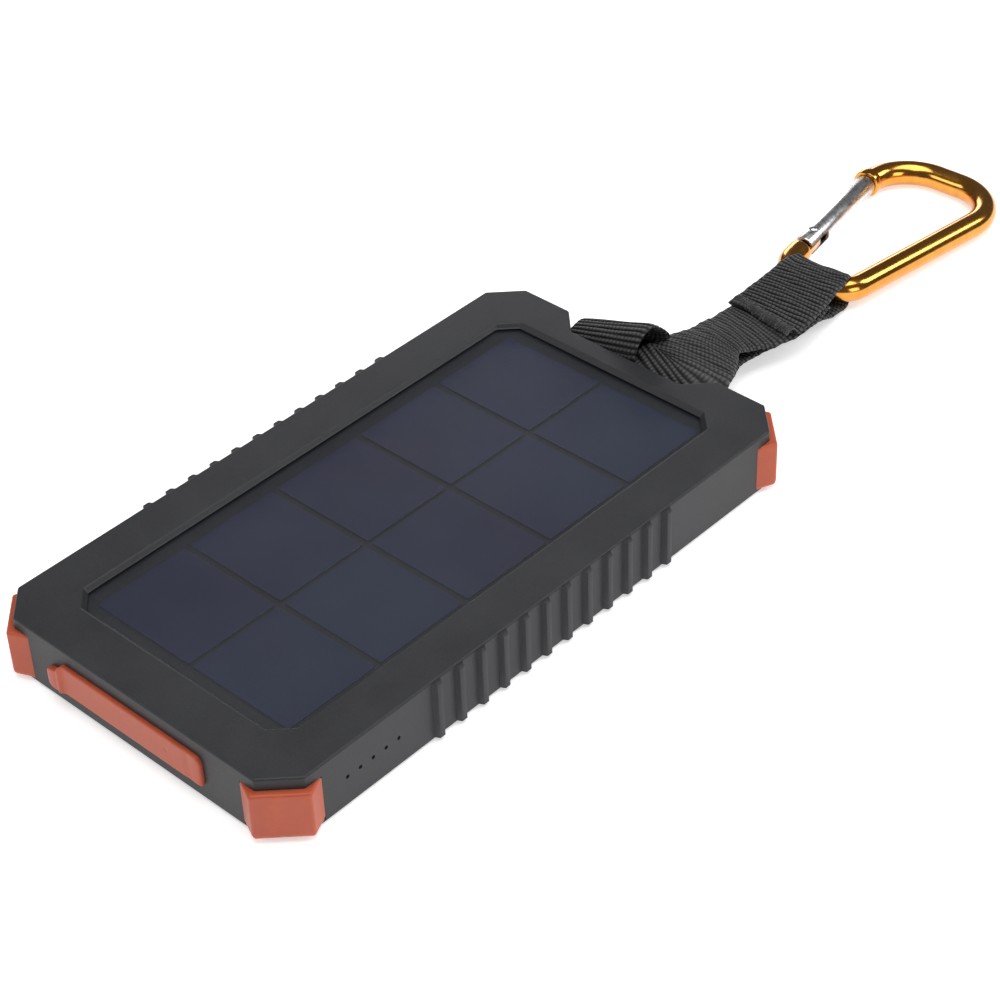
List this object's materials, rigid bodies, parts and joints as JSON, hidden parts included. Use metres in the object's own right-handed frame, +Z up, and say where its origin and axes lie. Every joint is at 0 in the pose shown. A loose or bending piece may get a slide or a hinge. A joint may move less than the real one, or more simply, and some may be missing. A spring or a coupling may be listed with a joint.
{
  "type": "solar phone charger",
  "caption": "Flat power bank with a solar panel, rubber corner guards and port cover, ribbed sides, and a webbing strap carrying a snap carabiner.",
  "frame": {"origin": "middle of the flat underside of the case", "axes": "+Z up out of the solar panel, +Y along the case towards the strap and carabiner, +X towards the side with the battery indicator holes"},
  "size_m": [0.0786, 0.2483, 0.0151],
  "materials": {
    "charcoal_plastic": "fine matte texture",
    "orange_rubber": "satin",
    "panel_film": "satin",
    "solar_silicon": "gloss",
    "panel_laminate": "matte",
    "foam_tape": "matte",
    "battery_foil": "satin",
    "board_green": "solder mask",
    "chip_black": "matte",
    "ferrite": "matte",
    "nickel_shell": "satin",
    "white_plastic": "matte",
    "clear_acrylic": "clear",
    "wire_red": "satin",
    "wire_black": "satin",
    "screw_steel": "zinc plated",
    "bar_steel": "black finish",
    "black_webbing": "coarse woven nylon",
    "black_thread": "fuzzy thread",
    "gold_anodised": "polished gold anodising",
    "gate_aluminium": "satin",
    "spring_steel": "plain"
  },
  "bodies": {
    "case": {"upper_shell": "charcoal_plastic", "lower_shell": "charcoal_plastic", "case_screws": "screw_steel", "guard_front_left": "orange_rubber", "guard_front_right": "orange_rubber", "guard_rear_left": "orange_rubber", "guard_rear_right": "orange_rubber", "panel_tape": "foam_tape", "panel_cover": "panel_film", "solar_cells": "solar_silicon", "panel_board": "panel_laminate", "panel_leads": "wire_red", "battery_pad": "foam_tape", "battery_cell": "battery_foil", "battery_leads": "wire_black", "circuit_board": "board_green", "board_screws": "screw_steel", "charge_chip": "chip_black", "coil_inductor": "ferrite", "usb_a_shell": "nickel_shell", "usb_a_tongue": "white_plastic", "usb_c_shell": "nickel_shell", "usb_c_tongue": "chip_black", "indicator_leds": "white_plastic", "light_pipe": "clear_acrylic", "switch_body": "chip_black", "cover_anchor": "orange_rubber", "strap_bar": "bar_steel", "strap_hitch": "black_webbing"},
    "port_cover": {"port_cover": "orange_rubber"},
    "power_button": {"power_button": "charcoal_plastic"},
    "strap": {"strap_webbing": "black_webbing", "strap_stitching": "black_thread"},
    "carabiner": {"carabiner_frame": "gold_anodised"},
    "gate": {"carabiner_gate": "gate_aluminium", "gate_rivet": "gate_aluminium", "gate_spring": "spring_steel"}
  },
  "joints": [
    {"name": "cover_hinge", "type": "hinge", "parent": "case", "child": "port_cover", "pos_m": [0.0154, -0.06895, 0.00732], "axis": [0, 0, 1], "range_deg": [0, 100]},
    {"name": "button_press", "type": "slide", "parent": "case", "child": "power_button", "axis": [1, 0, 0], "range_m": [0, 0.0004], "stiffness_N_per_m": 1500, "springref_m": -0.0004},
    {"name": "strap_swing", "type": "hinge", "parent": "case", "child": "strap", "pos_m": [0, 0.0666, 0.007], "axis": [1, 0, 0], "range_deg": [-90, 95]},
    {"name": "carabiner_swing", "type": "hinge", "parent": "strap", "child": "carabiner", "pos_m": [0.0044, 0.12066, 0.0044], "axis": [0.9991, 0.0427, 0], "range_deg": [-100, 100]},
    {"name": "gate_open", "type": "hinge", "parent": "carabiner", "child": "gate", "pos_m": [-0.00649, 0.13503, 0.00396], "axis": [0.0013, -0.0293, -0.9996], "range_deg": [0, 30], "stiffness_Nm_per_rad": 0.05, "springref_deg": -20.05}
  ]
}
